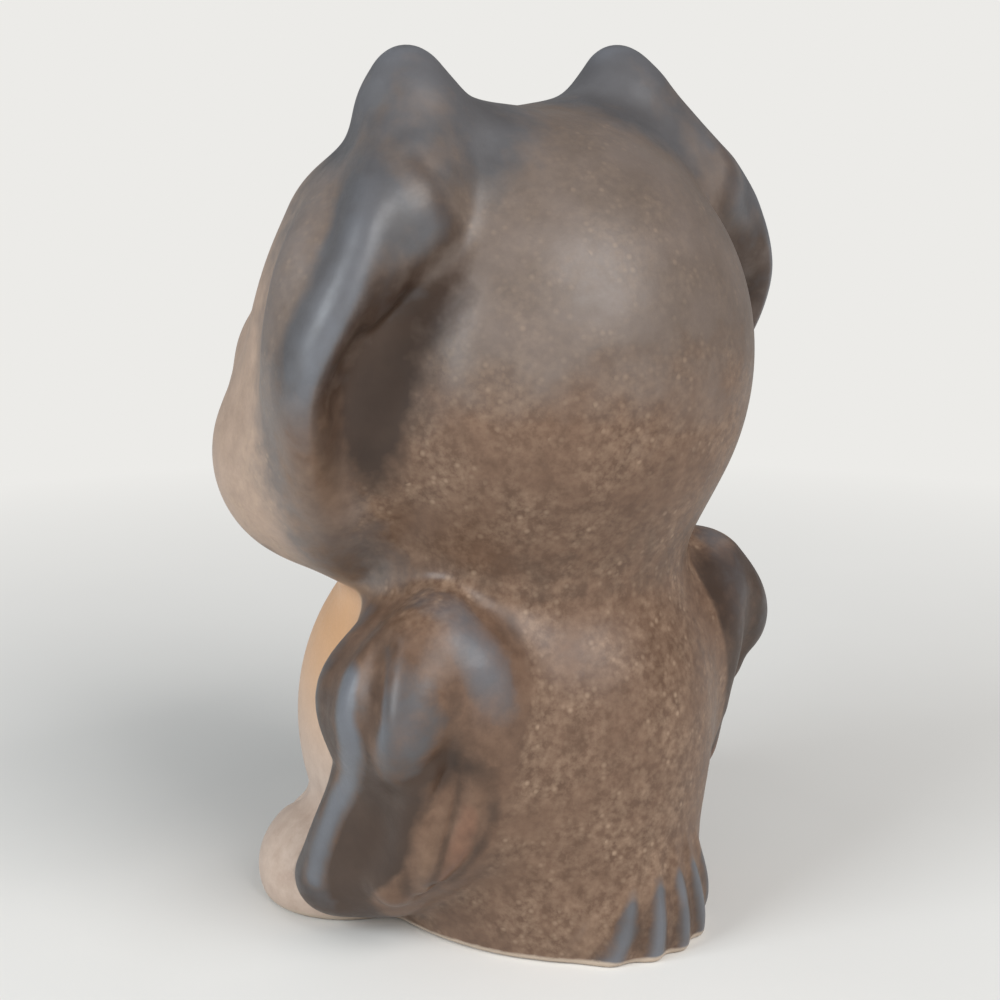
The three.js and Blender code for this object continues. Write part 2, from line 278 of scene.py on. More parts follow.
def torso_form():
    """A barrel, a narrower skirt below it and sloping shoulders above it."""
    belly = [0, -belly_forward, belly_height]
    barrel = ellipsoid(belly, [body_half_width, body_half_depth, body_half_height])
    skirt_middle = [0, skirt_back, skirt_height]
    skirt = ellipsoid(skirt_middle, [skirt_half_width, skirt_half_depth, skirt_half_height])
    shoulder_middle = [0, head_back, seam_height - 18]
    shoulder_radii = [body_half_width - 0.5, shoulder_half_depth, shoulder_half_height]
    shoulders = ellipsoid(shoulder_middle, shoulder_radii)
    return blend(6, blend(5, barrel, skirt), shoulders)


# Head

def skull_form():
    """A ball that tapers into the neck, with a muzzle."""
    ball = ellipsoid([0, head_back, head_height], [head_half_width, head_half_depth, head_half_height])
    neck_end = [0, -0.5, seam_height - 6, neck_radius]
    taper = tube([0, 0.5, head_height - 7, head_half_width - 2.4], neck_end)
    muzzle_middle = [0, head_front + 12, head_height - 13]
    muzzle = ellipsoid(muzzle_middle, [muzzle_radius, muzzle_radius, muzzle_radius + 4])
    return blend(8, blend(6, ball, taper), muzzle)


def channel_form():
    """The hollow behind the ruff, where it meets the skull."""
    side = head_half_width
    return tube(
        [side - 4, 20, head_height + 17, 1.5],
        [side + 1.5, 17.5, head_height + 8, 4],
        [side + 5, 13, head_height - 1, 5.8],
        [side + 5.5, 10.5, head_height - 9, 4.8],
        [side + 3.5, 6.5, head_height - 18, 3],
    )


def disc_form():
    """A swelling from the brow over the eye to the cheek and the jowl."""
    cheek = [disc_spread, head_front + 15.6, head_height - 14.5, disc_radius]
    brow = tube([disc_spread - 1.5, head_front + 21.2, head_height + 15.5, brow_radius], cheek)
    jowl = tube(cheek, [disc_spread - 8, head_front + 21, seam_height + 9, jowl_radius])
    round_eye = ellipsoid([eye_spread - 0.5, head_front + 6, eye_height], [13.5, 8, 15])
    return blend(4, brow, jowl, round_eye)


def ear_form():
    """A cone with a rounded tip on a flared root."""
    root = head_top - 12
    tip = head_top + ear_rise - ear_tip_radius
    cone_top = [ear_spread - 0.5, -0.1, tip, ear_tip_radius]
    cone = tube([ear_spread - 1, 0, root, ear_base_radius - 2.8], cone_top)
    flare_top = [ear_spread - 1, 0, head_top - 0.5, ear_tip_radius + 1.5]
    flare = tube([ear_spread - 8, 1, root, ear_base_radius], flare_top)
    return blend(4, cone, flare)


def ear_bridge_form():
    """The slip that leads the back of an ear down into the ruff."""
    ear_back = [ear_spread + 1, 2.5, head_top - 1, 5]
    ruff_top = [head_half_width - 3, 8.5, head_height + 21, 4.5]
    return tube(ear_back, ruff_top)


def ruff_lines():
    """The ruff's crest from the ear to the jaw and the short ridge behind it."""
    side = head_half_width
    thick = ruff_crest_radius
    crest = tube(
        [side - 4, 4.4, head_height + 24, thick],
        [side + 2.2, 8.8, head_height + 19.5, thick],
        [side + 5.4, 9.9, head_height + 14.4, thick],
        [side + 8.6, 9.2, head_height + 8, thick],
        [side + 10, 7, head_height + 2, thick],
        [side + 9.2, 4.8, head_height - 3.5, thick - 0.1],
        [side + 7, 2.2, head_height - 9, thick - 0.4],
        [side + 3.8, -1, head_height - 15, thick - 0.6],
        [side - 0.4, -4.6, head_height - 22, thick - 0.9],
        [side - 7, -6.5, head_height - 28, thick - 1.5],
    )
    ridge = tube(
        [side - 5, 9, head_height + 22, thick - 1],
        [side - 2, 10.8, head_height + 18.3, thick - 0.4],
        [side + 1.4, 10.8, head_height + 13.2, thick - 0.4],
        [side + 4.6, 10.2, head_height + 7.4, thick - 1.2],
    )
    return crest, ridge


def ruff_shade():
    """The dark line behind the ruff, which widens downward into a hollow."""
    side = head_half_width
    return tube(
        [side - 2, 11.8, head_height + 25.5, 0.3],
        [side - 2.5, 14.3, head_height + 22, 0.6],
        [side - 4.5, 14.6, head_height + 17, 1.2],
        [side - 4, 13.2, head_height + 11, 2.6],
        [side + 0.5, 9.5, head_height + 4.5, 4.4],
        [side + 1.5, 7.5, head_height - 2, 4.8],
        [side + 1.5, 6.5, head_height - 7.5, 3.8],
        [side + 0.5, 5.5, head_height - 13, 1.5],
    )


def ruff_form():
    """The swept rim of the face, with a flank before its crest."""
    side = head_half_width
    flank = tube(
        [side - 3, -1, head_height + 20, 4.5],
        [side + 4, 1, head_height + 13, 5.2],
        [side + 6.5, 1, head_height + 5, 5.4],
        [side + 6.2, -1, head_height - 2, 4.6],
        [side + 2.8, -5.5, head_height - 11, 3.6],
    )
    web = ellipsoid([side - 6.5, -2.5, head_height], [13.4, 14.5, 22])
    return blend(3, blend(6, web, flank, ruff_crest), ruff_ridge)


def eye_form():
    return ellipsoid(eye_centre, [eye_radius] * 3)


def eye_rim_form():
    """A soft lid round each eye, in a plane that faces forward and a little to the side."""
    def station(angle):
        across = lid_reach * math.cos(angle)
        back = lid_turn * across - lid_forward
        up = lid_reach * math.sin(angle)
        return [eye_spread + across, eye_centre[1] + back, eye_height + up, lid_radius]

    return tube(*[station(angle) for angle in np.linspace(0, 2 * np.pi, 13)])


def beak_form():
    root = head_height - 9
    tip = root - beak_length
    return tube([0, head_front - 2, root, beak_root_radius], [0, head_front - 6.5, tip, beak_tip_radius])


# Wings, feet and tail

def wing_lines():
    """The wing's leading edge, wrist, rear rim and trailing edge, and the groove between its knuckles."""
    side, top, tip = wing_side, wing_top, wing_tip_height
    thick = wing_edge_radius
    edge = tube(
        [side - 8, 1, top - 1.5, thick],
        [side - 0.6, -1.8, top - 10.5, thick + 1.3],
        [side - 2, -1, top - 19, thick - 0.4],
        [side - 2, -2.2, tip + 15, thick - 0.2],
        [side - 1.5, -6, tip + 7, thick + 0.6],
        [side - 2.7, -9.2, tip, thick + 2.2],
    )
    wrist = tube(
        [side + 0.5, 11.5, top - 3, 3],
        [side + 3, 13.4, top - 7.5, 4],
        [side + 4.6, 13.4, top - 11.5, 3.4],
        [side + 4, 12, top - 15.5, 1.8],
    )
    rim = tube(
        [side - 12.5, 4, top - 2, 3],
        [side - 3.8, 11.2, top, 3],
        [side - 4.4, 16, top - 3.7, 3],
        [side - 5.6, 17, top - 7, 3],
        [side - 6.2, 17.7, top - 11.5, 2.8],
        [side - 7, 17, top - 20, 2],
    )
    trail = tube(
        [side + 1.5, 12.5, top - 18, 2.2],
        [side - 0.5, 10.5, top - 24, 2.5],
        [side - 1, 9, tip + 10, 2.5],
        [side - 1, 5.5, tip + 3.5, 2.6],
    )
    groove = tube(
        [side + 7.5, 9.5, top - 1, 2.5],
        [side + 11.9, 10.6, top - 12, 3.9],
        [side + 9.8, 8, top - 20, 3.4],
    )
    return edge, wrist, rim, trail, groove


def wing_shine():
    """The line of painted highlight over the wing's front knuckle and down its leading edge, which the
    knuckles' slate also follows.
    """
    side, top, tip = wing_side, wing_top, wing_tip_height
    return tube(
        [side + 6.5, 6, top - 6, 1.5],
        [side + 8, 7, top - 10, 2],
        [side + 7.5, 6, top - 16, 1.5],
        [side + 3, -1, tip + 15, 1.2],
        [side + 2.3, -5, tip + 7, 1.2],
        [side + 2.2, -7, tip + 2, 1.2],
    )


def wing_form():
    """A folded wing: a swollen shoulder over a palm, with its lines on them."""
    side, top, tip = wing_side, wing_top, wing_tip_height
    shoulder_centre = np.array([side - 6.5, 7.5, top - 10.5])
    palm_centre = np.array([side - 7.5, 1, tip + 9])
    bed_centre = np.array([side - 8, 10, tip + 13])
    arm_lean, bed_lean = -22, -20
    shoulder = leaned(arm_lean, shoulder_centre, ellipsoid(shoulder_centre, [15, 9.5, 13.5]))
    palm = leaned(arm_lean, palm_centre, ellipsoid(palm_centre, [9.4, 9.5, 14.5]))
    bed = leaned(bed_lean, bed_centre, ellipsoid(bed_centre, [5.5, 7, 12]))
    arm = blend(6, blend(10, shoulder, palm), wing_rim, wing_wrist)
    arm = carved(3, blend(7, arm, wing_edge), knuckle_groove)
    return blend(3, arm, bed, wing_trail)


def feather_forms():
    """The two feathers that hang below the wrist, one behind the other."""
    side, top, tip = wing_side, wing_top, wing_tip_height
    thick = feather_radius
    front = tube(
        [side - 3, 14, top - 19, thick - 0.8],
        [side - 1.9, 12.8, top - 24, thick - 0.2],
        [side - 1.4, 11.2, tip + 9, thick - 0.4],
        [side - 2.5, 9, tip + 4.5, thick - 1],
    )
    rear = tube(
        [side - 6.3, 16.2, top - 14, thick - 0.9],
        [side - 5.5, 16.3, top - 19, thick - 0.2],
        [side - 5.3, 15.8, top - 23, thick - 0.1],
        [side - 4.2, 13.8, tip + 11, thick - 0.2],
        [side - 3.3, 11, tip + 6.5, thick - 0.8],
    )
    return front, rear


def toe_groove(points):
    """1 in the two grooves that part the toes at the front of a foot, and 0 away from them."""
    x, y, _ = (points - foot_centre).T
    lines = np.exp(-(x - toe_spacing / 2) ** 2) + np.exp(-(x + toe_spacing / 2) ** 2)
    return lines * ramp(y, -2, -8)


def foot_form():
    ball = ellipsoid(foot_centre, [foot_half_width, foot_half_length, foot_height - foot_swell_height])
    return lambda points: ball(points) + toe_groove_depth * toe_groove(points)


def tail_groove(points):
    """1 in the grooves between the tail's ribs, which fan out, and 0 on the ribs."""
    spread_from = 2 * tail_height
    across = np.arctan2(points[:, 0] - tail_rib_middle, spread_from - points[:, 2]) * spread_from
    return 0.5 + 0.5 * np.cos(2 * np.pi * across / tail_rib_pitch)


def tail_form():
    fan = ellipsoid(tail_centre, [tail_half_width, tail_half_depth, tail_height - tail_swell_height])
    return lambda points: fan(points) + tail_rib_depth * tail_groove(points)


torso, skull, channel = torso_form(), skull_form(), channel_form()
ruff_crest, ruff_ridge = ruff_lines()
hollow_shade = ruff_shade()
disc, ear, ruff, eye, beak = disc_form(), ear_form(), ruff_form(), eye_form(), beak_form()
wing_edge, wing_wrist, wing_rim, wing_trail, knuckle_groove = wing_lines()
front_shine = wing_shine()
eye_rim = eye_rim_form()
ear_bridge = ear_bridge_form()
front_feather, rear_feather = feather_forms()
feathers = blend(1, front_feather, rear_feather)
wing, foot, tail = wing_form(), foot_form(), tail_form()


def piece_distances(points):
    """Distance from points to the plain form of each kind of piece."""
    mirrored = both_sides(points)
    return {
        "head": skull(points),
        "body": torso(points),
        "disc": disc(mirrored),
        "ruff": ruff(mirrored),
        "ear": ear(mirrored),
        "eye": eye(mirrored),
        "beak": beak(points),
        "wing": np.minimum(wing(mirrored), feathers(mirrored)),
        "foot": foot(mirrored),
        "tail": tail(points),
    }


def head_skin(points, mirrored, to):
    """The head and all that is luted to it, with a wider fillet between the ruff and the ear."""
    under_ear = ramp(points[:, 2], head_height + 4, head_height + 18) * ramp(points[:, 1], 2, 8)
    head = smooth_min(to["head"], to["ear"], ear_fillet)
    head = smooth_min(head, to["ruff"], ruff_fillet + ruff_fillet_gain * under_ear)
    head = smooth_min(head, ear_bridge(mirrored), ear_bridge_fillet)
    head = smooth_max(head, -channel(mirrored), channel_fillet)
    head = smooth_min(head, to["disc"], disc_fillet)
    head = smooth_min(head, eye_rim(mirrored), lid_fillet)
    head = smooth_min(head, to["eye"], eye_fillet)
    return smooth_min(head, to["beak"], beak_fillet)


def body_skin(points, mirrored, to):
    """The body and all that is luted to it, with wider fillets at the wing's top and rear."""
    at_top = ramp(points[:, 2], seam_height - 29, seam_height - 4)
    at_rear = ramp(points[:, 1], body_back - 16, body_back - 9)
    body = smooth_min(to["body"], to["tail"], tail_fillet)
    body = smooth_min(body, to["foot"], foot_fillet)
    fillet = wing_fillet + wing_fillet_gain * at_top + wing_fillet_gain * at_rear
    body = smooth_min(body, wing(mirrored), fillet)
    return smooth_min(body, feathers(mirrored), feather_fillet)


def skin(points):
    """The glazed surface: head and body joined at the neck, with the vent and the flat base cut out."""
    to = piece_distances(points)
    mirrored = both_sides(points)
    whole = smooth_min(head_skin(points, mirrored, to), body_skin(points, mirrored, to), neck_fillet)
    vent = np.maximum(np.hypot(points[:, 0], points[:, 1]) - vent_radius, points[:, 2] - vent_depth)
    whole = smooth_max(whole, -vent, base_fillet)
    return smooth_max(whole, -points[:, 2], base_fillet)


def slope(points, reach=0.05):
    """Which way the skin's field rises at each point."""
    steps = reach * np.eye(3)
    return np.stack([skin(points + step) - skin(points - step) for step in steps], 1) / (2 * reach)


def settle(points, rounds=2):
    """Points moved on to the skin."""
    least_steepness = 0.2
    way = slope(points)
    way /= np.maximum((way ** 2).sum(1, keepdims=True), least_steepness)
    for _ in range(rounds):
        points = points - skin(points)[:, None] * way
    return points


# Skin mesh

def coarse_skin():
    """Points and faces of the skin on a coarse grid."""
    low = np.array([-46.0, -42.0, -2.0])
    high = np.array([46.0, 37.0, 123.0])
    axes = [np.arange(a, b, coarse_step) for a, b in zip(low, high)]
    grid = np.stack(np.meshgrid(*axes, indexing="ij"), -1)
    values = skin(grid.reshape(-1, 3)).reshape(grid.shape[:3])
    volume = openvdb.FloatGrid()
    volume.copyFromArray(values.astype(np.float32))
    points, _, quads = volume.convertToPolygons(0.0, 0.0)
    return low + coarse_step * points.astype(float), quads


def subdivided(points, quads):
    """The same skin with each face split in four."""
    mesh = bpy.data.meshes.new("coarse_skin")
    mesh.from_pydata(points.tolist(), [], quads.tolist())
    holder = bpy.data.objects.new("coarse_skin", mesh)
    bpy.context.scene.collection.objects.link(holder)
    holder.modifiers.new("finer", "SUBSURF").levels = 1
    fine = holder.evaluated_get(bpy.context.evaluated_depsgraph_get()).to_mesh()
    places = np.zeros(len(fine.vertices) * 3, np.float32)
    fine.vertices.foreach_get("co", places)
    corners = np.zeros(len(fine.loops), np.int32)
    fine.loops.foreach_get("vertex_index", corners)
    bpy.data.objects.remove(holder)
    bpy.data.meshes.remove(mesh)
    return places.reshape(-1, 3).astype(float), corners.reshape(-1, 4)


def edges_of(quads):
    """Each edge once, as its two points."""
    pairs = np.concatenate([quads[:, [i, (i + 1) % 4]] for i in range(4)])
    return np.unique(np.sort(pairs, 1), axis=0)


def neighbour_mean(values, edges):
    """Mean of a value over each point's neighbours."""
    flat = values.reshape(len(values), -1)
    size = len(flat)
    total = np.zeros_like(flat)
    a, b = edges.T
    for column in range(flat.shape[1]):
        at_a = np.bincount(a, flat[b, column], size)
        at_b = np.bincount(b, flat[a, column], size)
        total[:, column] = at_a + at_b
    count = np.bincount(edges.ravel(), minlength=size)
    return (total / np.maximum(count, 1)[:, None]).reshape(values.shape)


def fine_skin():
    """Points, faces and edges of the skin, evened out and facing outward."""
    points, quads = subdivided(*coarse_skin())
    edges = edges_of(quads)
    points = settle(points)
    for _ in range(smoothing_rounds):
        points = settle(0.5 * (points + neighbour_mean(points, edges)), 1)
    first = points[quads[:, 0]]
    faces_out = np.cross(points[quads[:, 1]] - first, points[quads[:, 2]] - first)
    sample = slice(None, None, 50)
    if (faces_out[sample] * slope(first[sample])).sum() < 0:
        quads = quads[:, ::-1]
    return points, quads, edges


# Pieces

slot_of_kind = {
    "head": "grey_brown_glaze",
    "body": "speckled_brown_glaze",
    "disc": "pale_clay",
    "ruff": "slate_glaze",
    "ear": "slate_glaze",
    "eye": "black_glaze",
    "beak": "ochre_glaze",
    "wing": "dark_glaze",
    "foot": "cream_clay",
    "tail": "slate_glaze",
}
kinds = list(slot_of_kind)
lone_nodes = {"head": "head_shell", "body": "body_shell", "beak": "beak", "tail": "tail_fan"}
side_nodes = {
    "disc": "face_disc",
    "ruff": "face_ruff",
    "ear": "ear_tuft",
    "eye": "eye",
    "wing": "wing",
    "foot": "foot",
}


def kind_of_faces(points, quads):
    """The kind of piece that each face belongs to, with round eyes and with ragged borders evened out."""
    centres = points[quads].mean(1)
    to = piece_distances(centres)
    table = np.stack([to[kind] for kind in kinds], 1)
    chosen = table.argmin(1)
    eye_number, disc_number = kinds.index("eye"), kinds.index("disc")
    from_eye = np.hypot(np.abs(centres[:, 0]) - eye_spread, centres[:, 2] - eye_height)
    on_face = centres[:, 1] < eye_centre[1]
    chosen[(chosen == eye_number) & on_face] = disc_number
    chosen[(from_eye < eye_border_radius) & on_face] = eye_number
    for _ in range(vote_rounds):
        votes = np.zeros((len(points), len(kinds)))
        for corner in range(4):
            np.add.at(votes, (quads[:, corner], chosen), 1)
        chosen = votes[quads].sum(1).argmax(1)
    return chosen


def even_borders(points, quads, chosen):
    """Points on the borders between pieces, drawn into smooth lines."""
    pairs = np.concatenate([quads[:, [i, (i + 1) % 4]] for i in range(4)])
    owners = np.tile(chosen, 4)
    order = np.lexsort(np.sort(pairs, 1).T)
    twins = np.sort(pairs, 1)[order].reshape(-1, 2, 2)[:, 0]
    sides = owners[order].reshape(-1, 2)
    border = twins[sides[:, 0] != sides[:, 1]]
    on_border = np.unique(border)
    for _ in range(border_rounds):
        drawn = 0.5 * (points + neighbour_mean(points, border))
        points[on_border] = drawn[on_border]
    points[on_border] = settle(points[on_border])
    return points


def skin_mesh(name, points, normals, quads, masks):
    """A closed mesh of a part of the skin with its thickness, and the masks that its glaze follows."""
    used, local = np.unique(quads, return_inverse=True)
    outer = local.reshape(-1, 4)
    count = len(used)
    pairs = np.concatenate([outer[:, [i, (i + 1) % 4]] for i in range(4)])
    _, first, times = np.unique(np.sort(pairs, 1), axis=0, return_index=True, return_counts=True)
    a, b = pairs[first[times == 1]].T
    walls = np.stack([b, a, a + count, b + count], 1)
    faces = np.concatenate([outer, outer[:, ::-1] + count, walls])
    inner = points[used] - skin_thickness * normals[used]
    places = (np.concatenate([points[used], inner]) + neck_place) * MM
    mesh = bpy.data.meshes.new(name)
    mesh.from_pydata(places.tolist(), [], faces.tolist())
    mesh.shade_smooth()
    mesh.normals_split_custom_set_from_vertices(np.concatenate([normals[used], -normals[used]]).tolist())
    for mask, values in masks.items():
        layer = mesh.attributes.new(mask, "FLOAT", "POINT")
        layer.data.foreach_set("value", np.tile(values[used], 2).astype(np.float32))
    return mesh


def add_piece(node, mesh, material):
    piece = bpy.data.objects.new(f"{node}_skin", mesh)
    bpy.context.scene.collection.objects.link(piece)
    mesh.materials.append(material)
    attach(piece, "root")
    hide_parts(node)


# Where each glaze lies

def bulge_of(points, normals, edges):
    """How far each point stands proud of its surroundings: above 0 on crests and below 0 in grooves."""
    bend = ((points - neighbour_mean(points, edges)) * normals).sum(1)
    for _ in range(bulge_rounds):
        bend = 0.5 * (bend + neighbour_mean(bend, edges))
    return bend / (0.5 * coarse_step) ** 2


def head_marks(points, normals, to, mirrored):
    """Where the head, its ears, its ruffs' crests and the shade behind them lie, from 0 to 1."""
    z = mirrored[:, 2]
    outward = normals[:, 0] * np.sign(points[:, 0])
    shade = hollow_shade(mirrored)
    whole = ramp(z, seam_height - 1, seam_height + 3)
    crest = whole * ramp(np.minimum(ruff_crest(mirrored), ruff_ridge(mirrored)), 4, 0)
    return Marks(
        whole=whole,
        upper=ramp(z, head_height - 16, head_height + 7),
        ear=whole * ramp(np.minimum(to["ear"], ear_bridge(mirrored) + 1), 6, -1),
        crest=crest,
        # Painted shade, over darker glaze, on the inward side of the ruff's crest below its top
        crest_back=crest * ramp(outward, 0.6, 0) * ramp(z, head_height + 20, head_height + 12),
        # Painted shade, over darker glaze, in the hollow behind the ruff
        hollow=whole * ramp(shade, 6, -4.5) * ramp(z, head_height + 20, head_height + 8),
        shade_line=whole * ramp(shade, 3.6, -0.6),
        # Painted shade under the chin
        chin=whole * ramp(z, head_height - 16, head_height - 28),
    )


def wing_marks(points, to, mirrored, below):
    """Where the wings, their dark part, knuckles, edges and groove lie, with their painted highlights and
    the right wing's painted shade, from 0 to 1.
    """
    y, z = mirrored[:, 1], mirrored[:, 2]
    top, tip = seam_height, wing_tip_height
    whole = below * ramp(to["wing"] - np.minimum(to["body"], to["foot"]), 0.5, -1.5)
    rear_heights = [8, 16, 24, 31, 40, 46]
    rear_places = [1, 10, 12.5, 16.5, 19, 19]
    rear_line = np.interp(z, rear_heights, rear_places)
    dark = whole * ramp(y - rear_line, 1.5, -1.5)
    groove = below * ramp(knuckle_groove(mirrored), 0.9, 0.2)
    shine, wrist = front_shine(mirrored), wing_wrist(mirrored)
    knuckles = below * ramp(np.minimum(shine, wrist), 2.2, -0.4)
    knuckles = knuckles * ramp(z, tip - 5, tip + 1) * (1 - groove)
    rim = ramp(z, top + 5, top + 2) * ramp(wing_rim(mirrored), 2.8, 0.4) * ramp(z, top - 16, top - 6)
    return Marks(
        whole=whole,
        dark=dark,
        # The wing's top: the dark glaze thins to brown there, and painted top light lightens it
        shoulder=dark * ramp(z, top - 12, top - 4),
        palm=dark * ramp(z, top - 7, top - 17) * (1 - knuckles),
        knuckles=knuckles,
        # Painted highlights along the front knuckle and the wrist
        front_knuckle=knuckles * ramp(shine, 1.2, -0.8),
        wrist=knuckles * ramp(wrist, 0.8, -0.2) * ramp(z, top - 17, top - 11),
        lead_edge=below * ramp(wing_edge(mirrored), 2.4, 0) * ramp(z, tip - 6, tip),
        rim=rim,
        groove=groove * ramp(z, top - 1, top - 7),
        # Painted shade over the right wing
        right=whole * ramp(points[:, 0], -10, -16),
    )


def feather_marks(mirrored, below):
    """Where the two feathers and the gaps beside them lie, from 0 to 1."""
    in_front, behind = front_feather(mirrored), rear_feather(mirrored)
    nearest = np.minimum(in_front, behind)
    between = ramp(np.abs(in_front - behind), 1.6, 0) * ramp(nearest, 2, 0.4)
    beside = ramp(nearest, -0.2, 1) * ramp(nearest, 3, 1)
    gap = below * np.maximum(between, beside)
    return Marks(
        gap=gap,
        front=below * (1 - gap) * ramp(in_front, 0.4, -0.1),
        rear=below * (1 - gap) * ramp(behind, 0.4, -0.1),
    )


def base_marks(points, to, mirrored, below, on_wing):
    """Where the tail, its ribs and its edge, the feet and the belly lie, from 0 to 1."""
    y, z = mirrored[:, 1], mirrored[:, 2]
    past_tail = to["tail"] - to["body"]
    tail = ramp(past_tail, 0.6, -0.6)
    edge = ramp(np.abs(past_tail), 0.7, 0.1) * ramp(z, tail_height + 3, tail_height - 3)
    return Marks(
        tail=tail,
        rib=tail * (1 - tail_groove(points)),
        tail_edge=edge * ramp(y, body_back - 14, body_back - 7),
        foot=below * ramp(to["foot"] - np.minimum(to["wing"], to["body"]), 1, -0.5),
        belly=below * ramp(y, 1, -7) * (1 - on_wing),
    )


def slate_cover(head, wing, base):
    """Blue-grey glaze on the ears, the ruffs' crests, the wings' knuckles and edges and the tail's ribs,
    held back where painted shade lies: the line behind the ruff, the ruffs' inward sides and the right
    wing.
    """
    return (1 - 0.5 * head.shade_line) * np.maximum.reduce([
        head.ear,
        head.crest * head.upper * (1 - 0.8 * head.crest_back),
        0.85 * wing.knuckles * (1 - 0.5 * wing.right),
        0.6 * wing.lead_edge,
        0.65 * wing.rim * (1 - 0.6 * wing.right),
        0.8 * base.rib,
    ])


def umber_cover(head, wing, feather, base):
    """Dark glaze over the wings and the tail, darker beside the feathers and in the wing's groove; painted
    shade, over darker glaze, in the hollows behind the ruffs and on the ruffs' inward sides; and painted
    shade along the line behind each ruff, under the chin and over the right wing.
    """
    return np.maximum.reduce([
        # The wings' dark glaze, less dark on the shoulder under painted top light, and held back under the
        # knuckles' and the rim's slate
        0.65 * wing.dark * (1 - 0.4 * wing.shoulder) * (1 - 0.6 * wing.knuckles) * (1 - 0.6 * wing.rim),
        wing.palm,
        head.hollow,
        0.6 * head.shade_line,
        0.75 * head.crest_back,
        0.5 * feather.gap,
        0.55 * wing.groove,
        0.8 * wing.right,
        0.45 * base.tail,
        0.3 * head.chin,
    ])


def tan_cover(head, feather, base):
    """Light brown glaze on the ruffs' lower crests, the front feathers and the tail's edge."""
    return np.maximum.reduce([
        0.6 * head.crest * (1 - head.upper) * (1 - head.hollow),
        0.55 * feather.front,
        0.5 * base.tail_edge,
    ])


def crest_highlight_cover(bulge, wing):
    """Where a painted highlight pales the slate glaze on what stands proud, on the crests and the wings'
    knuckles and rims, where the glaze also breaks thin.
    """
    return np.maximum.reduce([
        ramp(bulge, 0.0, 0.16) * (1 - wing.whole),
        0.7 * wing.front_knuckle,
        0.7 * wing.wrist,
        0.7 * wing.rim,
    ])


def speck_cover(head, wing, base):
    """Specks show in the brown glaze, and less on the top of the head."""
    plain = (1 - wing.whole) * (1 - head.crest) * (1 - head.ear) * (1 - base.rib)
    return plain * (1 - 0.6 * head.whole * head.upper)


def glaze_masks(points, normals, edges):
    """How far each glaze covers each point, from 0 to 1."""
    to = piece_distances(points)
    mirrored = both_sides(points)
    x, y, z = mirrored.T
    bulge = bulge_of(points, normals, edges)
    head = head_marks(points, normals, to, mirrored)
    below = 1 - head.whole
    wing = wing_marks(points, to, mirrored, below)
    feather = feather_marks(mirrored, below)
    base = base_marks(points, to, mirrored, below, wing.whole)
    upper_face = ramp(z, head_height - 4, head_height + 18)
    from_pupil = np.hypot(x - eye_spread - pupil_outward, z - eye_height)
    return {
        # The head greys towards its top: partly the glaze's own colour, partly painted top light
        "grey": head.whole * ramp(z, head_height - 16, head_height + 12),
        "mauve": head.whole * ramp(y, 8, -4),
        "pale": head.whole * ramp(y, 1, -15) * (1 - 0.5 * upper_face),
        "cream": np.maximum(base.belly, base.foot),
        "warm": base.belly * ramp(z, seam_height - 31, seam_height - 7),
        "slate": slate_cover(head, wing, base),
        # Dark glaze, and painted shade in the ruffs' hollows, under the chin and over the right wing
        "umber": umber_cover(head, wing, feather, base),
        "tan": tan_cover(head, feather, base),
        "rust": 0.7 * feather.rear,
        # Painted highlight on what stands proud, where the glaze also breaks thin
        "crest": crest_highlight_cover(bulge, wing),
        "groove": ramp(bulge, -0.02, -0.2),
        "specks": speck_cover(head, wing, base),
        "bare": ramp(z, 1.4, 0.5),
        "iris": ramp(from_pupil, pupil_radius, pupil_radius + 0.8),
        "lid": head.whole * ramp(eye_rim(mirrored), 1.4, 0.2),
    }


# Materials

def srgb(red, green, blue):
    """A colour written from 0 to 255, as the shader takes it."""
    parts = [c / 255 for c in (red, green, blue)]
    return [c / 12.92 if c <= 0.04045 else ((c + 0.055) / 1.055) ** 2.4 for c in parts] + [1]


# Colours, each from its darker to its paler patches
colour_ranges = {
    "brown": (srgb(94, 70, 54), srgb(116, 90, 72)),
    "grey": (srgb(99, 86, 77), srgb(113, 100, 92)),
    "mauve": (srgb(108, 98, 93), srgb(122, 111, 105)),
    "pale": (srgb(160, 136, 119), srgb(178, 153, 135)),
    "cream": (srgb(181, 158, 142), srgb(197, 176, 160)),
    "slate": (srgb(77, 75, 76), srgb(93, 92, 94)),
    "umber": (srgb(54, 39, 30), srgb(70, 53, 42)),
    "tan": (srgb(110, 86, 68), srgb(136, 110, 90)),
    "rust": (srgb(108, 78, 62), srgb(132, 96, 76)),
    "iris": (srgb(96, 60, 26), srgb(150, 100, 44)),
    "beak": (srgb(104, 70, 42), srgb(156, 112, 70)),
    "floor": (srgb(226, 224, 220), srgb(232, 230, 226)),
}

# Single colours
speck_colour = srgb(184, 158, 133)
warm_colour = srgb(204, 156, 110)
# Painted highlight that pales the slate on crests
crest_highlight_colour = srgb(124, 129, 138)
groove_colour = srgb(62, 49, 41)
bare_colour = srgb(186, 168, 150)
lid_colour = srgb(88, 70, 58)
grain_colour = srgb(66, 54, 47)
pupil_colour = srgb(20, 15, 13)
background_colour = srgb(236, 235, 232)


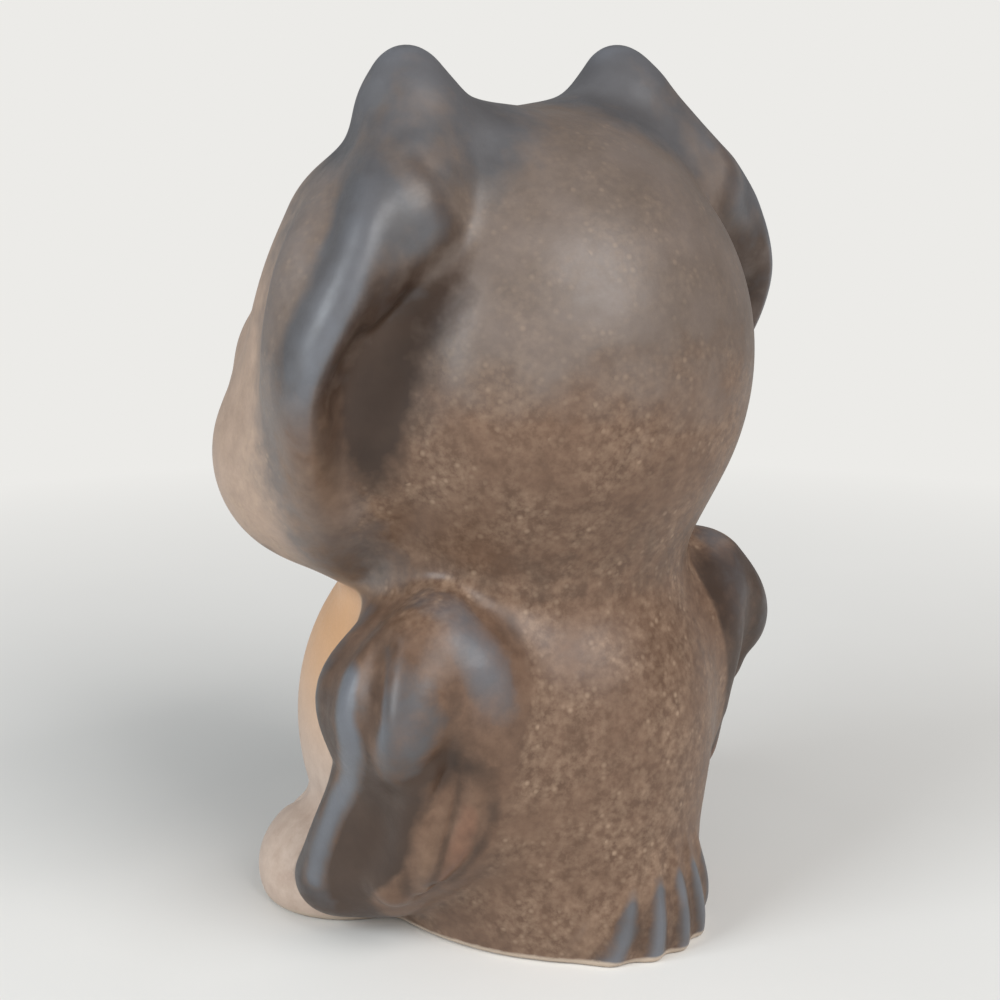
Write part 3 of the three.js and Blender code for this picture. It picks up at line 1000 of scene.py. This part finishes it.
class Tree:
    """A material's nodes, with short ways to add them."""

    def __init__(self, name):
        self.material = bpy.data.materials.new(name)
        self.material.use_nodes = True
        self.network = self.material.node_tree
        self.shader = self.network.nodes["Principled BSDF"]
        self.place = self.add("ShaderNodeTexCoord").outputs["Object"]

    def add(self, kind, inputs=None, **settings):
        made = self.network.nodes.new(kind)
        for key, value in settings.items():
            setattr(made, key, value)
        for key, value in (inputs or {}).items():
            self.set(made.inputs[key], value)
        return made

    def set(self, socket, value):
        if isinstance(value, bpy.types.NodeSocket):
            self.network.links.new(value, socket)
        else:
            socket.default_value = value

    def shaded(self, colour, roughness, normal):
        """The material, once its shader has its main inputs."""
        self.set(self.shader.inputs["Base Color"], colour)
        self.set(self.shader.inputs["Roughness"], roughness)
        self.set(self.shader.inputs["Normal"], normal)
        return self.material

    def mask(self, name):
        return self.add("ShaderNodeAttribute", attribute_name=name).outputs["Fac"]

    def share(self, name, amount):
        """A mask at a part of its strength."""
        return self.math("MULTIPLY", self.mask(name), amount)

    def frayed(self, name, fray, depth=0.4):
        """A mask whose soft border runs unevenly, as a glaze's does."""
        shifted = self.math("MULTIPLY_ADD", fray, depth, self.mask(name))
        return self.ramp(shifted, depth, 1.0)

    def math(self, operation, *values):
        return self.add("ShaderNodeMath", dict(enumerate(values)), operation=operation).outputs[0]

    def ramp(self, value, start, end, low=0.0, high=1.0):
        inputs = {"Value": value, "From Min": start, "From Max": end, "To Min": low, "To Max": high}
        return self.add("ShaderNodeMapRange", inputs).outputs["Result"]

    def noise(self, size_mm, detail=4.0, roughness=0.55):
        inputs = {
            "Vector": self.place,
            "Scale": 1 / (size_mm * MM),
            "Detail": detail,
            "Roughness": roughness,
        }
        return self.add("ShaderNodeTexNoise", inputs).outputs["Fac"]

    def patches(self, size_mm, detail=4.0, roughness=0.55):
        """Noise drawn out to soft patches from 0 to 1."""
        return self.ramp(self.noise(size_mm, detail, roughness), 0.3, 0.7)

    def cells(self, size_mm):
        """Distance from the middle of scattered cells, and each cell's own random value."""
        inputs = {"Vector": self.place, "Scale": 1 / (size_mm * MM)}
        made = self.add("ShaderNodeTexVoronoi", inputs)
        chance = self.add("ShaderNodeSeparateColor", {"Color": made.outputs["Color"]}).outputs["Red"]
        return made.outputs["Distance"], chance

    def mix(self, amount, below, above):
        made = self.add("ShaderNodeMix", {0: amount, 6: below, 7: above}, data_type="RGBA")
        return made.outputs[2]

    def bump(self, height, distance_mm, strength, over=None):
        inputs = {"Height": height, "Distance": distance_mm * MM, "Strength": strength}
        if over is not None:
            inputs["Normal"] = over
        return self.add("ShaderNodeBump", inputs).outputs["Normal"]


def speck_amount(tree):
    """Pale dots and haze, gathered in patches."""
    near, chance = tree.cells(size_mm=1.1)
    dot = tree.math("MULTIPLY", tree.ramp(near, 0.5, 0.15), tree.ramp(chance, 0.4, 1.0))
    haze = tree.math("MULTIPLY", tree.ramp(tree.noise(size_mm=1.2, roughness=0.6), 0.4, 0.75), 0.6)
    gathered = tree.ramp(tree.noise(size_mm=7, detail=2), 0.3, 0.65)
    speck = tree.math("MULTIPLY", tree.math("MAXIMUM", dot, haze), gathered)
    return tree.math("MULTIPLY", speck, tree.share("specks", 0.6))


def glaze_colour(tree, cloud, mottle, grain):
    """The glazes laid over one another, from the brown ground up to the grain."""
    fray = tree.patches(size_mm=4, detail=3)

    def laid(colour, name, border, patches):
        return tree.mix(tree.frayed(name, border), colour, tree.mix(patches, *colour_ranges[name]))

    colour = tree.mix(mottle, *colour_ranges["brown"])
    colour = laid(colour, "grey", cloud, cloud)
    colour = laid(colour, "mauve", fray, cloud)
    colour = laid(colour, "pale", fray, mottle)
    colour = tree.mix(speck_amount(tree), colour, speck_colour)
    colour = laid(colour, "cream", fray, mottle)
    colour = tree.mix(tree.share("warm", 0.85), colour, warm_colour)
    colour = laid(colour, "umber", fray, cloud)
    colour = laid(colour, "slate", fray, cloud)
    colour = laid(colour, "tan", fray, mottle)
    colour = laid(colour, "rust", fray, mottle)
    # Painted highlight: the slate pales on crests, knuckles and rims, where the glaze also breaks thin
    crest = tree.math("MULTIPLY", tree.mask("crest"), tree.share("slate", 0.7))
    colour = tree.mix(crest, colour, crest_highlight_colour)
    colour = tree.mix(tree.share("groove", 0.5), colour, groove_colour)
    colour = tree.mix(tree.frayed("bare", fray), colour, bare_colour)
    colour = tree.mix(tree.share("lid", 0.6), colour, lid_colour)
    return tree.mix(tree.math("MULTIPLY", grain, 0.16), colour, grain_colour)


def glaze(name):
    """Satin stoneware glaze over brown slip: blue-grey on crests with a painted highlight, umber with
    painted shade in hollows, bare pale clay.
    """
    tree = Tree(name)
    cloud = tree.patches(size_mm=9, detail=3)
    mottle = tree.patches(size_mm=2.4, roughness=0.6)
    grain = tree.noise(size_mm=0.5, detail=3, roughness=0.6)
    roughness = tree.ramp(tree.math("ADD", mottle, grain), 0.4, 1.4, low=0.34, high=0.46)
    undulation = tree.bump(tree.noise(size_mm=5, detail=2), distance_mm=0.3, strength=0.3)
    normal = tree.bump(grain, distance_mm=0.05, strength=0.3, over=undulation)
    tree.set(tree.shader.inputs["Specular IOR Level"], 0.38)
    return tree.shaded(glaze_colour(tree, cloud, mottle, grain), roughness, normal)


def eye_glaze(name):
    """Glossy black pupils in amber."""
    tree = Tree(name)
    cloud = tree.noise(size_mm=1.5)
    colour = tree.mix(tree.mask("iris"), pupil_colour, tree.mix(cloud, *colour_ranges["iris"]))
    roughness = tree.ramp(cloud, 0.3, 0.7, low=0.14, high=0.26)
    normal = tree.bump(tree.noise(size_mm=0.8, detail=3), distance_mm=0.05, strength=0.2)
    return tree.shaded(colour, roughness, normal)


def beak_glaze(name):
    """Satin ochre."""
    tree = Tree(name)
    cloud = tree.noise(size_mm=1.6)
    roughness = tree.ramp(cloud, 0.3, 0.7, low=0.34, high=0.5)
    normal = tree.bump(tree.noise(size_mm=0.6, detail=3), distance_mm=0.06, strength=0.3)
    return tree.shaded(tree.mix(cloud, *colour_ranges["beak"]), roughness, normal)


def dress_owl():
    """The skin made, parted into pieces and glazed."""
    points, quads, edges = fine_skin()
    chosen = kind_of_faces(points, quads)
    points = even_borders(points, quads, chosen)
    normals = slope(points)
    normals /= np.linalg.norm(normals, axis=1, keepdims=True)
    masks = glaze_masks(points, normals, edges)
    makers = {"black_glaze": eye_glaze, "ochre_glaze": beak_glaze}
    slots = dict.fromkeys(slot_of_kind.values())
    materials = {slot: makers.get(slot, glaze)(slot) for slot in slots}
    across = points[quads].mean(1)[:, 0]
    for number, (kind, slot) in enumerate(slot_of_kind.items()):
        mine = chosen == number
        parts = {lone_nodes[kind]: mine} if kind in lone_nodes else {
            f"{side_nodes[kind]}_left": mine & (across > 0),
            f"{side_nodes[kind]}_right": mine & (across < 0),
        }
        for node, faces in parts.items():
            mesh = skin_mesh(f"{node}_skin", points, normals, quads[faces], masks)
            add_piece(node, mesh, materials[slot])


# Camera, light and floor

def add_camera():
    """The photograph's view: 45 degrees behind the owl's left side, from 260 mm away and 120 mm up."""
    turn, pitch = math.radians(135), math.radians(13.3)
    away, height, aside = 260.0, 120.0, 2.3
    back = np.array([math.sin(turn), -math.cos(turn), 0])
    right = np.array([math.cos(turn), math.sin(turn), 0])
    place = back * away - right * aside + np.array([0, 0, height]) + neck_place
    data = bpy.data.cameras.new("view")
    data.sensor_width = 36.0
    data.lens = 68.9
    data.clip_start = 0.01
    camera = bpy.data.objects.new("view", data)
    facing = Matrix.Rotation(turn, 4, "Z") @ Matrix.Rotation(math.pi / 2 - pitch, 4, "X")
    camera.matrix_world = Matrix.Translation(place * MM) @ facing
    bpy.context.scene.collection.objects.link(camera)
    bpy.context.scene.camera = camera


def add_lamp(name, azimuth, elevation, away, size, power, colour=(1, 1, 1)):
    """A soft square lamp that faces the figure's middle, placed by the view's angles."""
    data = bpy.data.lights.new(name, "AREA")
    data.shape = "SQUARE"
    data.size = size
    data.energy = power
    data.color = colour
    lamp = bpy.data.objects.new(name, data)
    turn, rise = math.radians(azimuth), math.radians(elevation)
    way = Vector((math.sin(turn) * math.cos(rise), -math.cos(turn) * math.cos(rise), math.sin(rise)))
    middle = Vector((0, 0, 60 * MM))
    lamp.location = middle + way * away
    lamp.rotation_euler = way.to_track_quat("Z", "Y").to_euler()
    bpy.context.scene.collection.objects.link(lamp)


def floor_look():
    """A pale matt floor that fades into the plain background away from the figure."""
    fade_start, fade_end = 0.06, 0.3
    tree = Tree("pale_floor")
    cloud = tree.noise(size_mm=60, detail=3)
    roughness = tree.ramp(cloud, 0.3, 0.7, low=0.7, high=0.8)
    normal = tree.bump(tree.noise(size_mm=3, detail=3), distance_mm=0.05, strength=0.2)
    tree.shaded(tree.mix(cloud, *colour_ranges["floor"]), roughness, normal)
    away = tree.add("ShaderNodeVectorMath", {0: tree.place}, operation="LENGTH").outputs["Value"]
    seen = tree.add("ShaderNodeLightPath").outputs["Is Camera Ray"]
    plain = tree.add("ShaderNodeEmission", {"Color": background_colour})
    fade = tree.math("MULTIPLY", tree.ramp(away, fade_start, fade_end), seen)
    mixed = tree.add("ShaderNodeMixShader", {0: fade, 1: tree.shader.outputs[0], 2: plain.outputs[0]})
    tree.set(tree.network.nodes["Material Output"].inputs["Surface"], mixed.outputs[0])
    return tree.material


def add_floor():
    """A wide floor under the figure, which is staging and no piece of it."""
    half = 3.0
    corners = [(-half, -half, 0), (half, -half, 0), (half, half, 0), (-half, half, 0)]
    mesh = bpy.data.meshes.new("floor")
    mesh.from_pydata(corners, [], [(0, 1, 2, 3)])
    mesh.materials.append(floor_look())
    floor = bpy.data.objects.new("floor", mesh)
    bpy.context.scene.collection.objects.link(floor)


def add_world():
    """Soft light from all round, and a plain background for the camera."""
    world = bpy.data.worlds.new("room")
    world.use_nodes = True
    nodes, links = world.node_tree.nodes, world.node_tree.links
    sky = nodes["Background"]
    sky.inputs["Color"].default_value = (0.96, 0.98, 1.0, 1)
    sky.inputs["Strength"].default_value = 0.26
    plain = nodes.new("ShaderNodeBackground")
    plain.inputs["Color"].default_value = background_colour
    mixed = nodes.new("ShaderNodeMixShader")
    links.new(nodes.new("ShaderNodeLightPath").outputs["Is Camera Ray"], mixed.inputs[0])
    links.new(sky.outputs[0], mixed.inputs[1])
    links.new(plain.outputs[0], mixed.inputs[2])
    links.new(mixed.outputs[0], nodes["World Output"].inputs["Surface"])
    bpy.context.scene.world = world


add_camera()
add_lamp("key", azimuth=176, elevation=36, away=0.9, size=0.6, power=7.5)
add_lamp("window", azimuth=82, elevation=22, away=0.9, size=0.5, power=6.5, colour=(0.88, 0.95, 1.0))
add_floor()
add_world()
dress_owl()
bpy.context.scene.view_settings.view_transform = "Standard"
